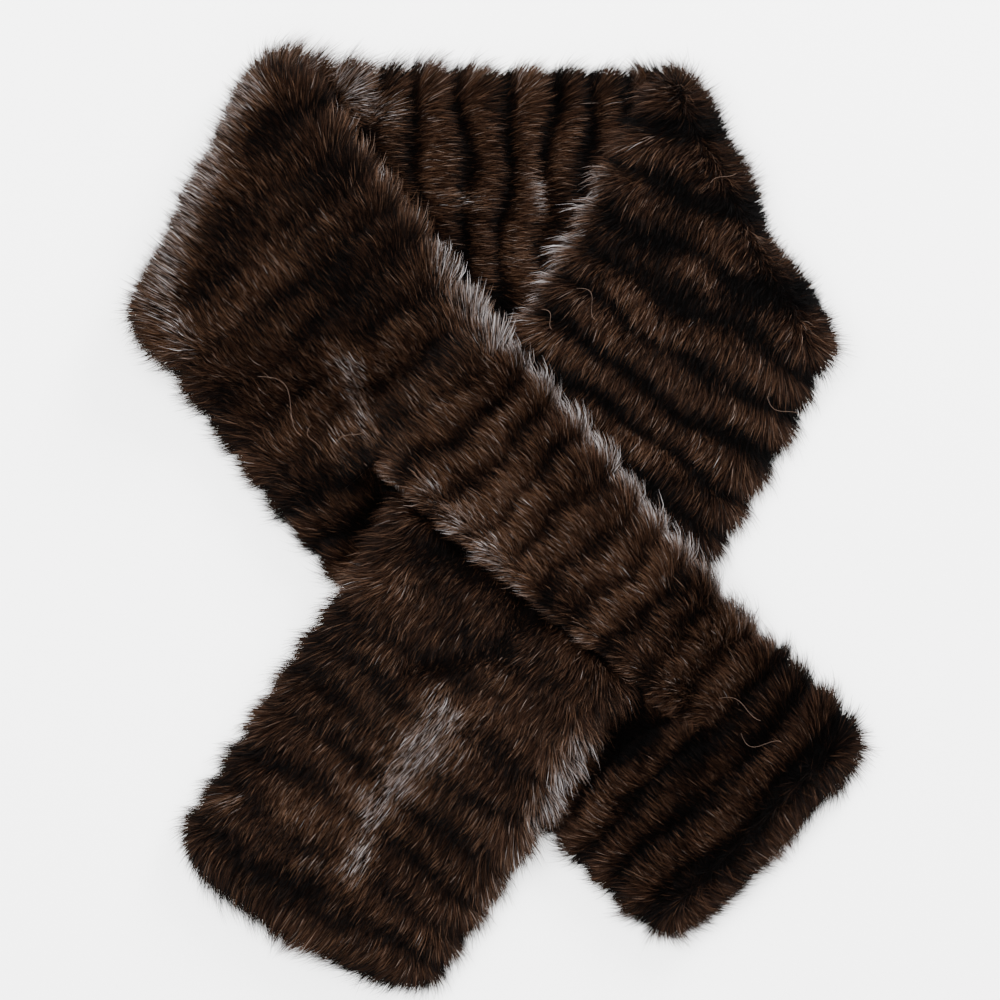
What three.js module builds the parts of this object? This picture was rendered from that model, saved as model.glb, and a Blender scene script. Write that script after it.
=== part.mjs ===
// A fur collar wrap, laid out on a table. One long strip of narrow fur ribs, with fur on both
// faces, goes round the back of the neck, folds over slantwise at both sides, and crosses in
// front, where one tail is pulled through a lengthwise slot in the other front.
//
// Frame: millimetres, +Z up, the table at Z = 0. +Y points to the back of the neck and +X to the
// right as seen from above. The origin is the middle of the plan at table height.
//
// The strip is cut flat and then laid. Each half of it is an arm that starts at the middle of
// the back: "along" is the distance from there, "across" is measured from the strip's centre
// line and is positive on the edge that lies at the top of the neck.

import * as THREE from "three";

// The strip
const HALF_WIDTH = 65.5;
const RIB_PITCH = 20;
const SECTIONS_PER_RIB = 4;
const UNEVENNESS = [
  { share: 0.1, turn: 2.4, start: 0 },
  { share: 0.06, turn: 5.1, start: 1 },
];
const SEAM_GAP = 0.4;

// The pile on each face of the strip, measured from the base cloth in the middle
const OPEN_PILE = 11; // where the fur stands free
const PRESSED_PILE = 6.8; // where another stretch lies on it
const RESTING_PILE = 7; // on the underside
const VALLEY_SHARE = 0.68; // pile left in the valley between two ribs
const SCALLOP = 2.6; // how far the edge draws in at each valley
const EDGE_DEPTH = 14; // how far in from an edge the pile is full
const EDGE_SHARE = 0.3; // pile left at the very edge
const TIP_ROUNDING = 18; // length over which a free end rounds off
const CORNER_DRAW = 24; // how far the corners of a free end draw in
const END_REACH = 60; // length over which a free end leans askew
const INNER_SQUEEZE = 0.45; // share that the pile on the inside of a fold loses
const FOLD_RIB_SHARE = 0.5; // share of the ribs' depth that is left round a fold

// How one stretch lies over another
const LAYER = RESTING_PILE + PRESSED_PILE + 0.8;
const SPILL = 38; // a stretch comes down to the table over this distance past an edge
const SEAT = 6; // and is fully up this far inside it
const PRESS_MARGIN = 6; // the pile below an edge is pressed over this distance

// The slot, a straight slit in the left front that leans a little from the front's own line
const SLOT_START = 262;
const SLOT_END = 455;
const SLOT_ACROSS_AT_START = -18;
const SLOT_ACROSS_AT_END = 11;
const SLOT_CLIMB = 20; // the tail climbs over the lower lip in this distance
const SLOT_OPENING = 16; // the lips part over this length from each end of the slot
const SLOT_SOFTNESS = 30; // half the width of the bend between the lips, past the slot's ends

// Where the tail puffs up, or creases, as it comes out of the slot: x and y in plan, the
// reach of the swelling and its height
const SWELLINGS = [
  { x: -24, y: -41, reach: 24, height: 4 },
  { x: 29, y: -84, reach: 27, height: 4 },
  { x: 6, y: -53, reach: 12, height: -6 },
  { x: -14, y: -64, reach: 12, height: -5 },
  { x: -34, y: -70, reach: 12, height: -4 },
];

// The right fold has a notch where the strip buckles
const NOTCH_ACROSS = -20;
const NOTCH_REACH = 16;

// The back of the neck lies straight along X at this Y, between two seams.
const BACK_Y = 143.5;
const BACK_LEFT = 76;
const BACK_RIGHT = 60;
const TAIL_START = 290; // where the right front is sewn to the tail

// The two arms. The fold is a line across the strip, leaning from the crosswise direction.
// endSlant: how much longer the inner side is than the middle at the free end.
// headings: how far the arm has turned in the plane, at a distance along.
// widths: the half widths towards the inner and the outer edge, at a distance along.
const LEFT = {
  mirror: 1,
  foldAlong: 113.5,
  foldLean: 26.6,
  foldRadius: 12,
  foldLength: 22,
  foldPile: 21.5,
  notch: 0,
  length: 520,
  endSlant: 0,
  headings: [
    { along: 215, turn: 0 },
    { along: 300, turn: 4 },
    { along: 430, turn: 8.5 },
    { along: 520, turn: 8.5 },
  ],
  widths: [
    { along: 0, inner: HALF_WIDTH, outer: HALF_WIDTH },
    { along: 50, inner: HALF_WIDTH, outer: HALF_WIDTH },
    { along: 95, inner: 71, outer: 67 },
    { along: 140, inner: 69, outer: 68 },
    { along: 300, inner: 71, outer: 69 },
    { along: 440, inner: 66, outer: 76 },
    { along: 520, inner: 66, outer: 75 },
  ],
};
const RIGHT = {
  mirror: -1,
  foldAlong: 98,
  foldLean: 29,
  foldRadius: 11,
  foldLength: 22,
  foldPile: 14.5,
  notch: 8,
  length: 506,
  endSlant: 5,
  headings: [
    { along: 190, turn: 0 },
    { along: 300, turn: 0 },
    { along: 400, turn: 3 },
    { along: 506, turn: 4 },
  ],
  widths: [
    { along: 0, inner: HALF_WIDTH, outer: HALF_WIDTH },
    { along: 90, inner: HALF_WIDTH, outer: HALF_WIDTH },
    { along: 200, inner: 59, outer: 81 },
    { along: 305, inner: 64, outer: 81 },
    { along: 345, inner: 64, outer: 77 },
    { along: 420, inner: 64, outer: 82 },
    { along: 506, inner: 60, outer: 83 },
  ],
};

const clamp = (x) => Math.min(1, Math.max(0, x));
const smooth = (x) => clamp(x) ** 2 * (3 - 2 * clamp(x));
const blend = (a, b, share) => a + (b - a) * share;
const softMax = (a, b) => (a ** 4 + b ** 4) ** 0.25;

// Reads a column of a table whose rows are in order of along.
function read(table, column, along) {
  const next = table.findIndex((row) => row.along > along);
  if (next === 0) {
    return table[0][column];
  }
  if (next === -1) {
    return table[table.length - 1][column];
  }
  const [a, b] = [table[next - 1], table[next]];
  return blend(a[column], b[column], smooth((along - a.along) / (b.along - a.along)));
}

// The centre line of an arm before it is folded, as stations a millimetre apart, so that a
// place on it is found by its distance along.
const STEP = 1;
const PAST_END = 20; // they go on this far past the end
function stationsOf(arm) {
  const stations = [];
  const spot = new THREE.Vector2(0, BACK_Y);
  for (let along = 0; along <= arm.length + PAST_END; along += STEP) {
    const turn = THREE.MathUtils.degToRad(read(arm.headings, "turn", along));
    const ahead = new THREE.Vector2(-arm.mirror * Math.cos(turn), Math.sin(turn));
    stations.push({ spot: spot.clone(), ahead });
    spot.addScaledVector(ahead, STEP);
  }
  return stations;
}

// The place of a point of the strip in the plane of the back, with the arm not yet folded.
function unfolded(arm, along, across) {
  const i = Math.min(arm.stations.length - 1, Math.max(0, Math.floor(along / STEP)));
  const { spot, ahead } = arm.stations[i];
  const inward = new THREE.Vector2(arm.mirror * ahead.y, -arm.mirror * ahead.x);
  return spot
    .clone()
    .addScaledVector(ahead, along - i * STEP)
    .addScaledVector(inward, across);
}

// How far a point of the plane lies past the fold line, and its foot on that line.
function pastFold(arm, point) {
  const lean = THREE.MathUtils.degToRad(arm.foldLean);
  const out = new THREE.Vector2(-arm.mirror * Math.cos(lean), Math.sin(lean));
  const onLine = new THREE.Vector2(-arm.mirror * arm.foldAlong, BACK_Y);
  const past = point.clone().sub(onLine).dot(out);
  return { out, past, foot: point.clone().addScaledVector(out, -past) };
}

// The plan position of a point of the base cloth once the arm is folded over, and how far
// round the fold it is, from 0 before it to pi after it.
function folded(arm, along, across) {
  const flat = unfolded(arm, along, across);
  const { out, past, foot } = pastFold(arm, flat);
  const turned = Math.PI * clamp(past / arm.foldLength);
  const reach =
    past <= 0 ? past : arm.foldRadius * Math.sin(turned) - Math.max(0, past - arm.foldLength);
  return { plan: foot.addScaledVector(out, reach), out, turned };
}

// The centre line of each front as it lies after the fold, extended straight back past it
const PAST_FOLD = 40; // it is traced from this far past the fold
const LAID_STEP = 4;
for (const arm of [LEFT, RIGHT]) {
  arm.stations = stationsOf(arm);
  arm.laid = [];
  for (let along = Math.ceil(arm.foldAlong + PAST_FOLD); along <= arm.length; along += LAID_STEP) {
    const here = folded(arm, along, 0).plan;
    const ahead = folded(arm, along + STEP, 0).plan.sub(here).normalize();
    arm.laid.push({ along, spot: here, ahead });
  }
}

// Where a plan point lies on a front: its distance along and across.
function locate(arm, x, y) {
  const point = new THREE.Vector2(x, y);
  let best = null;
  for (const station of arm.laid) {
    const along = point.clone().sub(station.spot).dot(station.ahead);
    if (!best || Math.abs(along) < Math.abs(best.off)) {
      best = { station, off: along };
    }
  }
  const { station, off } = best;
  const inward = new THREE.Vector2(-arm.mirror * station.ahead.y, arm.mirror * station.ahead.x);
  return {
    along: station.along + off,
    across: point.clone().sub(station.spot).dot(inward),
  };
}

// How far a plan point lies inside the edges of a front, negative outside.
function inside(arm, spot) {
  const inner = read(arm.widths, "inner", spot.along) - spot.across;
  const outer = read(arm.widths, "outer", spot.along) + spot.across;
  return Math.min(inner, outer, arm.length - spot.along);
}

const plateau = (depth, spill) => smooth((depth + spill) / (spill + SEAT));
const pressedBy = (depth) => smooth((depth + PRESS_MARGIN) / (2 * PRESS_MARGIN));

// Height that the back of the neck gives to what lies on it
const overBack = (y) => LAYER * plateau(HALF_WIDTH - Math.abs(y - BACK_Y), SPILL);

function slotAcross(along) {
  const share = (along - SLOT_START) / (SLOT_END - SLOT_START);
  return blend(SLOT_ACROSS_AT_START, SLOT_ACROSS_AT_END, clamp(share));
}

// Height that the lip below the slot gives to the tail that comes through
function overLowerLip(x, y) {
  const { across, along } = locate(LEFT, x, y);
  const climb = smooth((slotAcross(along) - across + SLOT_CLIMB) / (SLOT_CLIMB + SEAT));
  return LAYER * climb * plateau(across + read(LEFT.widths, "outer", along), SPILL);
}

// Underside of each arm
const rightRests = (x, y) => softMax(overBack(y), overLowerLip(x, y));
function overRight(x, y) {
  const depth = inside(RIGHT, locate(RIGHT, x, y));
  return (rightRests(x, y) + LAYER) * plateau(depth, SPILL);
}

// How much of the left front is above the slot: 1 over the tail, 0 under it. lip is 1 on the
// lip that goes over, -1 on the one that goes under.
function aboveSlot(along, across, lip) {
  const fromEnds = Math.min(along - SLOT_START, SLOT_END - along);
  const opening = lip * 0.5 * smooth(fromEnds / SLOT_OPENING);
  return smooth(0.5 + (across - slotAcross(along)) / (2 * SLOT_SOFTNESS) + opening);
}

// How high one rib is among the others
function uneven(rib) {
  return UNEVENNESS.reduce((sum, wave) => sum + wave.share * Math.sin(rib * wave.turn + wave.start), 1);
}

// Height of the underside, and how much the pile on top is pressed, at a laid point of an arm.
function lieOf(arm, along, across, x, y, lip) {
  if (arm === RIGHT) {
    const onLeft = locate(LEFT, x, y);
    const lipThere = Math.sign(onLeft.across - slotAcross(onLeft.along));
    const aboveIt = aboveSlot(onLeft.along, onLeft.across, lipThere);
    return {
      rest: rightRests(x, y),
      pressed: aboveIt * pressedBy(inside(LEFT, onLeft)),
    };
  }
  const above = aboveSlot(along, across, lip);
  return {
    rest: softMax(overBack(y), above * overRight(x, y)),
    pressed: (1 - above) * pressedBy(inside(RIGHT, locate(RIGHT, x, y))),
  };
}

// Height of the swellings of the tail at a point in plan
function swelling(plan) {
  let height = 0;
  for (const bump of SWELLINGS) {
    const away = Math.hypot(plan.x - bump.x, plan.y - bump.y) / bump.reach;
    height += bump.height * Math.exp(-away * away);
  }
  return height;
}

// Turns a share of the width, from -1 to 1, into one from 0 to 1 that has its steps closer
// together at both edges and where the strip folds over.
const GATHER_STEPS = 48;
const EDGE_EASE = 0.25; // the less, the closer the steps at the edges
const FOLD_CLOSENESS = 3.2; // the more, the closer the steps at the fold
function gather(arm, along, low, high, share) {
  const lean = THREE.MathUtils.degToRad(arm.foldLean);
  const reach = arm.foldLength / (2 * Math.sin(lean));
  const fold = (arm.foldAlong - along) / Math.tan(lean) + reach;
  const weights = [];
  let sum = 0;
  for (let i = 0; i < GATHER_STEPS; i++) {
    const middle = (i + 0.5) / GATHER_STEPS;
    const edges = (Math.PI / 2) * Math.sin(Math.PI * middle) + EDGE_EASE;
    const away = (blend(low, high, middle) - fold) / reach;
    sum += 1 / edges + FOLD_CLOSENESS * Math.exp(-away * away);
    weights.push(sum);
  }
  const wanted = Math.min(sum, ((share + 1) / 2) * sum);
  const i = weights.findIndex((weight) => weight >= wanted);
  const before = i === 0 ? 0 : weights[i - 1];
  return (i + (wanted - before) / (weights[i] - before)) / GATHER_STEPS;
}

// One point of a stretch. face is 1 on the face that is up at the back of the neck, and -1 on
// the face that is down there and up on the fronts.
function pointOf(arm, along, share, face, stretch = { lip: 0 }) {
  const rib = Math.floor(Math.abs(along) / RIB_PITCH);
  const crest = Math.abs(Math.sin((Math.PI * along) / RIB_PITCH)) * uneven(rib);
  const tip = stretch.freeEnd ? clamp((arm.length - along) / TIP_ROUNDING) : 1;
  const tipShare = Math.sqrt(1 - (1 - tip) ** 2);

  // Across the strip, from one edge of the stretch to the other
  const draw = SCALLOP * (1 - crest) + CORNER_DRAW * (1 - tipShare);
  const onSlot = slotAcross(along) + (stretch.lip * SEAM_GAP) / 2;
  const low = stretch.lip === 1 ? onSlot : draw - read(arm.widths, "outer", along);
  const high = stretch.lip === -1 ? onSlot : read(arm.widths, "inner", along) - draw;
  const across = blend(low, high, gather(arm, along, low, high, share));
  const inset = clamp(Math.min(across - low, high - across) / EDGE_DEPTH);
  const edge = Math.max(EDGE_SHARE, Math.sqrt(1 - (1 - inset) ** 2));
  const body = Math.max(EDGE_SHARE, tipShare) * edge;

  const nearEnd = stretch.freeEnd ? smooth((along - arm.length + END_REACH) / END_REACH) : 0;
  const slanted = along + (arm.endSlant * nearEnd * across) / HALF_WIDTH;
  const { plan, out, turned } = folded(arm, slanted, across);
  const turnedShare = turned / Math.PI;
  const ribbed = VALLEY_SHARE + (1 - VALLEY_SHARE) * crest;
  let base, pile;
  if (turned === 0 && along < arm.foldAlong + HALF_WIDTH) {
    // Still on the back, flat on the table
    const cover = Math.max(
      pressedBy(inside(LEFT, locate(LEFT, plan.x, plan.y))),
      pressedBy(inside(RIGHT, locate(RIGHT, plan.x, plan.y))),
    );
    base = RESTING_PILE;
    pile = face > 0 ? blend(OPEN_PILE * ribbed, PRESSED_PILE, cover) : RESTING_PILE;
  } else {
    const lie = lieOf(arm, along, across, plan.x, plan.y, stretch.lip);
    const splay = Math.sin(turned);
    const onTop = blend(OPEN_PILE * ribbed, PRESSED_PILE, lie.pressed);
    const outside = blend(RESTING_PILE, onTop, smooth(turnedShare));
    base = RESTING_PILE + lie.rest * (0.5 - 0.5 * Math.cos(turned));
    const notch = arm.notch * Math.exp(-(((across - NOTCH_ACROSS) / NOTCH_REACH) ** 2));
    pile = face > 0
      ? blend(PRESSED_PILE, RESTING_PILE, turnedShare) * (1 - INNER_SQUEEZE * splay)
      : blend(outside, (arm.foldPile - notch) * blend(1, ribbed, FOLD_RIB_SHARE), splay);
    if (face < 0 && arm === RIGHT && along > TAIL_START) {
      pile += swelling(plan) * (1 - lie.pressed);
    }
  }
  const offset = face * pile * body;
  return new THREE.Vector3(
    plan.x - out.x * offset * Math.sin(turned),
    plan.y - out.y * offset * Math.sin(turned),
    Math.max(0, base + offset * Math.cos(turned)),
  );
}

// Where the sections of a stretch are: a few to a rib, twice as many where an edge of the
// strip goes round the fold.
const FOLD_ZONE = 0.75; // share of the fold's length on each side that has the close sections
function sectionsOf(arm, start, end) {
  const lean = THREE.MathUtils.degToRad(arm.foldLean);
  const middle = arm.foldAlong + arm.foldLength / 2;
  const slant = HALF_WIDTH * Math.tan(lean);
  const step = RIB_PITCH / SECTIONS_PER_RIB;
  const sections = [start + SEAM_GAP / 2];
  for (let half = 1; start + (half * step) / 2 < end - 1; half++) {
    const along = start + (half * step) / 2;
    const fromEdge = Math.abs(Math.abs(along - middle) - slant);
    if (half % 2 === 0 || fromEdge < FOLD_ZONE * arm.foldLength) {
      sections.push(along);
    }
  }
  return [...sections, end - SEAM_GAP / 2];
}

// Cuts each square of a slab along its other diagonal, which is the one that follows the left
// fold line.
function cutOtherWay(slab) {
  const corners = slab.index.array;
  for (let i = 0; i < corners.length; i += 6) {
    const [a, b, d, , c] = corners.slice(i, i + 6);
    corners.set([a, b, c, a, c, d], i);
  }
}

// A stretch of the strip: a slab with each of its points moved to where the laid strip has it.
function stretchGeometry(arm, start, end, acrossSegments, stretch) {
  const sections = sectionsOf(arm, start, end);
  const slab = new THREE.BoxGeometry(1, 2, 2, sections.length - 1, acrossSegments, 1);
  const places = slab.getAttribute("position");
  for (let i = 0; i < places.count; i++) {
    const along = sections[Math.round((0.5 - places.getX(i)) * (sections.length - 1))];
    const share = arm.mirror * places.getY(i);
    const spot = pointOf(arm, along, share, Math.sign(places.getZ(i)), stretch);
    places.setXYZ(i, spot.x, spot.y, spot.z);
  }
  if (arm === LEFT) {
    cutOtherWay(slab);
  }
  slab.computeVertexNormals();
  return slab;
}

// back_neck runs across the middle of the back, where the two arms meet.
function backGeometry() {
  const sections = Math.round(((BACK_LEFT + BACK_RIGHT) / RIB_PITCH) * SECTIONS_PER_RIB);
  const slab = new THREE.BoxGeometry(1, 2, 2, sections, 8, 1);
  const places = slab.getAttribute("position");
  for (let i = 0; i < places.count; i++) {
    const share = 0.5 - places.getX(i);
    const along = blend(SEAM_GAP / 2 - BACK_RIGHT, BACK_LEFT - SEAM_GAP / 2, share);
    const arm = along < 0 ? RIGHT : LEFT;
    const spot = pointOf(arm, Math.abs(along), places.getY(i), Math.sign(places.getZ(i)));
    places.setXYZ(i, spot.x, spot.y, spot.z);
  }
  slab.computeVertexNormals();
  return slab;
}

const wrap = new THREE.Group();
function add(name, geometry, color) {
  const material = new THREE.MeshStandardMaterial({ color, roughness: 0.85, metalness: 0 });
  const mesh = new THREE.Mesh(geometry, material);
  mesh.name = name;
  wrap.add(mesh);
}

const DARK_BROWN = 0x2b1c15;
const BROWN = 0x3a281d;

add("back_neck", backGeometry(), DARK_BROWN);
add("left_front", stretchGeometry(LEFT, BACK_LEFT, SLOT_START, 14, { lip: 0 }), BROWN);
add("slot_bridge", stretchGeometry(LEFT, SLOT_START, SLOT_END, 8, { lip: 1 }), BROWN);
add("slot_lower_lip", stretchGeometry(LEFT, SLOT_START, SLOT_END, 6, { lip: -1 }), DARK_BROWN);
const rightTail = stretchGeometry(LEFT, SLOT_END, LEFT.length, 10, { lip: 0, freeEnd: true });
add("right_tail", rightTail, DARK_BROWN);
add("right_front", stretchGeometry(RIGHT, BACK_RIGHT, TAIL_START, 14, { lip: 0 }), DARK_BROWN);
const leftTail = stretchGeometry(RIGHT, TAIL_START, RIGHT.length, 10, { lip: 0, freeEnd: true });
add("left_tail", leftTail, BROWN);

// The middle of the plan goes to the origin.
const middle = new THREE.Box3().setFromObject(wrap).getCenter(new THREE.Vector3());
for (const mesh of wrap.children) {
  mesh.geometry.translate(-middle.x, -middle.y, 0);
}

export default wrap;
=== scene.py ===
# A dark brown fur collar wrap, laid out on a pale table and seen from straight above. One long
# strip of narrow fur ribs goes round the back of the neck, folds over slantwise at both sides,
# and crosses in front, where one tail is pulled through a slot in the other front.

import math

import bpy
import numpy as np
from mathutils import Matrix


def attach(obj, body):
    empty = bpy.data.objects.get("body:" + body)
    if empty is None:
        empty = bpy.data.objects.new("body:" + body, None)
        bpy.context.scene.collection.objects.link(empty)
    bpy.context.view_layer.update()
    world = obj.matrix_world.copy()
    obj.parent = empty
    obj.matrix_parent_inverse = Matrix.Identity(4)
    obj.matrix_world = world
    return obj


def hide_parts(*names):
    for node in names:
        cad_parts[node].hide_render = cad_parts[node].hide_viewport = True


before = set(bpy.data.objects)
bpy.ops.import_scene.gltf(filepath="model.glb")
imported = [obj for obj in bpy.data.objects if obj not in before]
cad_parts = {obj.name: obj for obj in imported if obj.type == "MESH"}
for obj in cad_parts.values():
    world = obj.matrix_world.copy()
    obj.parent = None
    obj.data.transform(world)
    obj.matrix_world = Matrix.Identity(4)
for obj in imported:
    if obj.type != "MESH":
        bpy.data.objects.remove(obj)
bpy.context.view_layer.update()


# Camera
# It looks straight down at the wrap. At the height of the fur the picture is 460 mm wide, and
# its middle is a little behind the wrap's own. Metres, and millimetres for the sensor.
PICTURE_WIDTH = 0.46
PICTURE_X, PICTURE_Y = 0.00172, 0.00893
CAMERA_HEIGHT = 1.6
FUR_HEIGHT = 0.02
SENSOR_WIDTH = 36
bpy.ops.object.camera_add(
    location=(PICTURE_X, PICTURE_Y, CAMERA_HEIGHT + FUR_HEIGHT), rotation=(0, 0, 0)
)
camera = bpy.context.object
camera.name = "camera"
camera.data.sensor_width = SENSOR_WIDTH
camera.data.lens = SENSOR_WIDTH * CAMERA_HEIGHT / PICTURE_WIDTH
camera.data.dof.use_dof = False
bpy.context.scene.camera = camera


# Table and light
# A plain white table top, lit by a large soft lamp from above, with a second one low at the
# back on the right that catches the tips of the fur.
TABLE_SIZE = 6
bpy.ops.mesh.primitive_plane_add(size=TABLE_SIZE, location=(0, 0, 0))
table = bpy.context.object
table.name = "table"
table_white = bpy.data.materials.new("table_white")
table_white.use_nodes = True
nodes = table_white.node_tree.nodes
links = table_white.node_tree.links
white = nodes["Principled BSDF"]
white.inputs["Roughness"].default_value = 0.85
white.inputs["Specular IOR Level"].default_value = 0.2
place = nodes.new("ShaderNodeTexCoord")
cloud = nodes.new("ShaderNodeTexNoise")
cloud.inputs["Scale"].default_value = 3.0
shade = nodes.new("ShaderNodeValToRGB")
shade.color_ramp.elements[0].color = (0.93, 0.93, 0.93, 1)
shade.color_ramp.elements[1].color = (0.96, 0.96, 0.96, 1)
links.new(place.outputs["Object"], cloud.inputs["Vector"])
links.new(cloud.outputs["Fac"], shade.inputs["Fac"])
links.new(shade.outputs["Color"], white.inputs["Base Color"])
table.data.materials.append(table_white)


def soft_lamp(name, place, target, size, power):
    """A square lamp at a place, turned towards a target. Metres and watts."""
    bpy.ops.object.light_add(type="AREA", location=place)
    lamp = bpy.context.object
    lamp.name = name
    lamp.data.shape = "SQUARE"
    lamp.data.size = size
    lamp.data.energy = power
    ahead = np.subtract(target, place)
    level = math.hypot(ahead[0], ahead[1])
    lamp.rotation_euler = (
        math.pi / 2 + math.atan2(ahead[2], level),
        0,
        math.atan2(ahead[1], ahead[0]) - math.pi / 2,
    )


soft_lamp("lamp_above", (-0.35, 0.25, 1.9), (0, 0, 0), 1.6, 150)
soft_lamp("lamp_behind", (0.9, 1.3, 0.8), (0, 0, 0), 0.7, 80)

room = bpy.data.worlds.new("room")
bpy.context.scene.world = room
room.use_nodes = True
room.node_tree.nodes["Background"].inputs["Color"].default_value = (1, 1, 1, 1)
room.node_tree.nodes["Background"].inputs["Strength"].default_value = 2.0


# Back of the neck
# A length of the strip. It is knitted from narrow cut fur, so both faces carry pile and the
# ribs run crosswise. It lies straight on the table, and its two ends go under the folds.

# How the strip is cut and laid, in millimetres and degrees. Along is the distance from the
# middle of the back. Across is measured from the centre line, positive on the edge that lies
# at the top of the neck.
MM = 0.001
HALF_WIDTH = 65.5
RIB = 20.0
RIB_WANDER = [(2.6, 0.05, 0.06), (1.5, 0.12, -0.09)]  # how far, per mm across and along
RIB_UNEVEN = [(0.1, 2.4, 0), (0.06, 5.1, 1)]  # how far, step for each rib, and shift
SEAM = 0.4
OPEN_PILE = 11.0
PRESSED_PILE = 6.8
RESTING_PILE = 7.0
LAYER_GAP = 0.8
EDGE_DEPTH = 13.0  # the pile rounds off over this distance from an edge
THINNEST = 0.1  # share of the pile that is left at the very edge
SCALLOP = 2.6  # how far the edge draws back at a valley
TIP_ROUNDING = 18.0
CORNER_DRAW = 24.0  # how far the corners of a free end draw in
END_REACH = 60.0  # the length of a free end over which it is drawn out
LAYER = RESTING_PILE + PRESSED_PILE + LAYER_GAP
SPILL = 38.0  # how far past an edge a layer comes down from what it lies on
SEAT = 6.0  # how far inside the edge it begins to
PRESS_MARGIN = 6.0
INNER_SQUEEZE = 0.45  # share that the pile on the inside of a fold loses
NOTCH_ACROSS, NOTCH_REACH = -20.0, 16.0
PUFFED_OUT = 4.0  # a swelling of this height has no ribs left
LOWEST_SKIN = 0.6
BACK_Y = 143.5
# From the middle of the back, as it was laid, to the middle of the plan
TO_MIDDLE = (0.7053, 1.5692)

SLOT_START, SLOT_END = 262.0, 455.0
SLOT_AT_START, SLOT_AT_END = -18.0, 11.0
SLOT_CLIMB = 20.0
SLOT_OPENING = 16.0
SLOT_SOFTNESS = 30.0
LIP_MARGIN = 0.4  # share of the skin's margin that the lips draw back by
# The tail fills the slot this far along, and past it the lips lie close together
TAIL_IN_SLOT = 425.0
LIPS_MEET_OVER = 20.0

# The two arms. turns has how far each one bends off its line, in degrees, at distances along,
# and inner and outer have how far its edges are from the centre line there.
LEFT = {
    "mirror": 1,
    "fold_along": 113.5,
    "fold_lean": 26.6,
    "fold_radius": 12.0,
    "fold_length": 22.0,
    "fold_pile": 21.5,
    "notch": 0.0,
    "length": 520.0,
    "end_slant": 0.0,
    "end_bulge": 0.0,
    "turns": [(215, 0), (300, 4), (430, 8.5)],
    "inner": [(50, 65.5), (95, 71), (140, 69), (300, 71), (440, 66)],
    "outer": [(50, 65.5), (95, 67), (140, 68), (300, 69), (440, 76), (520, 75)],
}
RIGHT = {
    "mirror": -1,
    "fold_along": 98.0,
    "fold_lean": 29.0,
    "fold_radius": 11.0,
    "fold_length": 22.0,
    "fold_pile": 14.5,
    "notch": 8.0,
    "length": 506.0,
    "end_slant": 5.0,
    "end_bulge": 4.0,
    "turns": [(300, 0), (400, 3), (506, 4)],
    "inner": [(90, 65.5), (200, 59), (305, 64), (420, 64), (506, 60)],
    "outer": [(90, 65.5), (200, 81), (305, 81), (345, 77), (420, 82), (506, 83)],
}


def clamp(x):
    return np.clip(x, 0.0, 1.0)


def smooth(x):
    return clamp(x) ** 2 * (3 - 2 * clamp(x))


def blend(a, b, share):
    return a + (b - a) * share


def soft_max(a, b):
    return (a**4 + b**4) ** 0.25


def fade(distance, reach):
    return np.exp(-((distance / reach) ** 2))


def unit(v):
    return v / np.maximum(np.linalg.norm(v, axis=-1, keepdims=True), 1e-9)


def read(rows, along):
    """The value at a distance along, eased from each (along, value) row to the next."""
    value = np.full(np.shape(along), float(rows[0][1]))
    for (a, before), (b, after) in zip(rows, rows[1:]):
        value = np.where(along >= a, blend(before, after, smooth((along - a) / (b - a))), value)
    return value


RUN_ON = 21  # the centre line goes on this far past the end


def lay_centre_line(arm):
    """The centre line of an unfolded arm, a spot and a direction for each millimetre."""
    turn = np.radians(read(arm["turns"], np.arange(arm["length"] + RUN_ON)))
    ahead = np.stack([-arm["mirror"] * np.cos(turn), np.sin(turn)], axis=1)
    arm["ahead"] = ahead
    arm["spots"] = np.array([0, BACK_Y]) + np.vstack([[0, 0], np.cumsum(ahead, axis=0)[:-1]])


def folded(arm, along, across):
    """Plan places of the base cloth once the arm is folded over, the way out past the fold
    line, and how far round the fold each one is, from 0 to pi."""
    i = np.clip(np.floor(along).astype(int), 0, len(arm["spots"]) - 1)
    ahead = arm["ahead"][i]
    inward = arm["mirror"] * np.stack([ahead[..., 1], -ahead[..., 0]], axis=-1)
    flat = arm["spots"][i] + ahead * (along - i)[..., None] + inward * across[..., None]
    lean = math.radians(arm["fold_lean"])
    out = np.array([-arm["mirror"] * math.cos(lean), math.sin(lean)])
    past = (flat - [-arm["mirror"] * arm["fold_along"], BACK_Y]) @ out
    turned = np.pi * clamp(past / arm["fold_length"])
    round_fold = arm["fold_radius"] * np.sin(turned) - np.maximum(0, past - arm["fold_length"])
    reach = np.where(past <= 0, past, round_fold)
    return flat + out * (reach - past)[..., None], out, turned


PAST_FOLD = 40  # a front's own centre line starts this far past the fold line
FRONT_STEP = 4.0


def lay_front(arm):
    """The front's centre line as it lies after the fold, spots and directions."""
    start = math.ceil(arm["fold_along"] + PAST_FOLD)
    along = np.arange(start, arm["length"] + 1, FRONT_STEP)
    here = folded(arm, along, np.zeros_like(along))[0]
    arm["front_along"] = along
    arm["front_spots"] = here
    arm["front_ahead"] = unit(folded(arm, along + 1, np.zeros_like(along))[0] - here)


for arm in (LEFT, RIGHT):
    lay_centre_line(arm)
    lay_front(arm)


def locate(arm, plan):
    """Where plan places lie on a front: along, across."""
    flat = plan.reshape(-1, 2)
    off = np.einsum("nsk,sk->ns", flat[:, None] - arm["front_spots"], arm["front_ahead"])
    best = np.argmin(np.abs(off), axis=1)
    ahead = arm["front_ahead"][best]
    inward = arm["mirror"] * np.stack([-ahead[:, 1], ahead[:, 0]], axis=1)
    along = arm["front_along"][best] + off[np.arange(len(flat)), best]
    across = np.sum((flat - arm["front_spots"][best]) * inward, axis=1)
    return along.reshape(plan.shape[:-1]), across.reshape(plan.shape[:-1])


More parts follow.
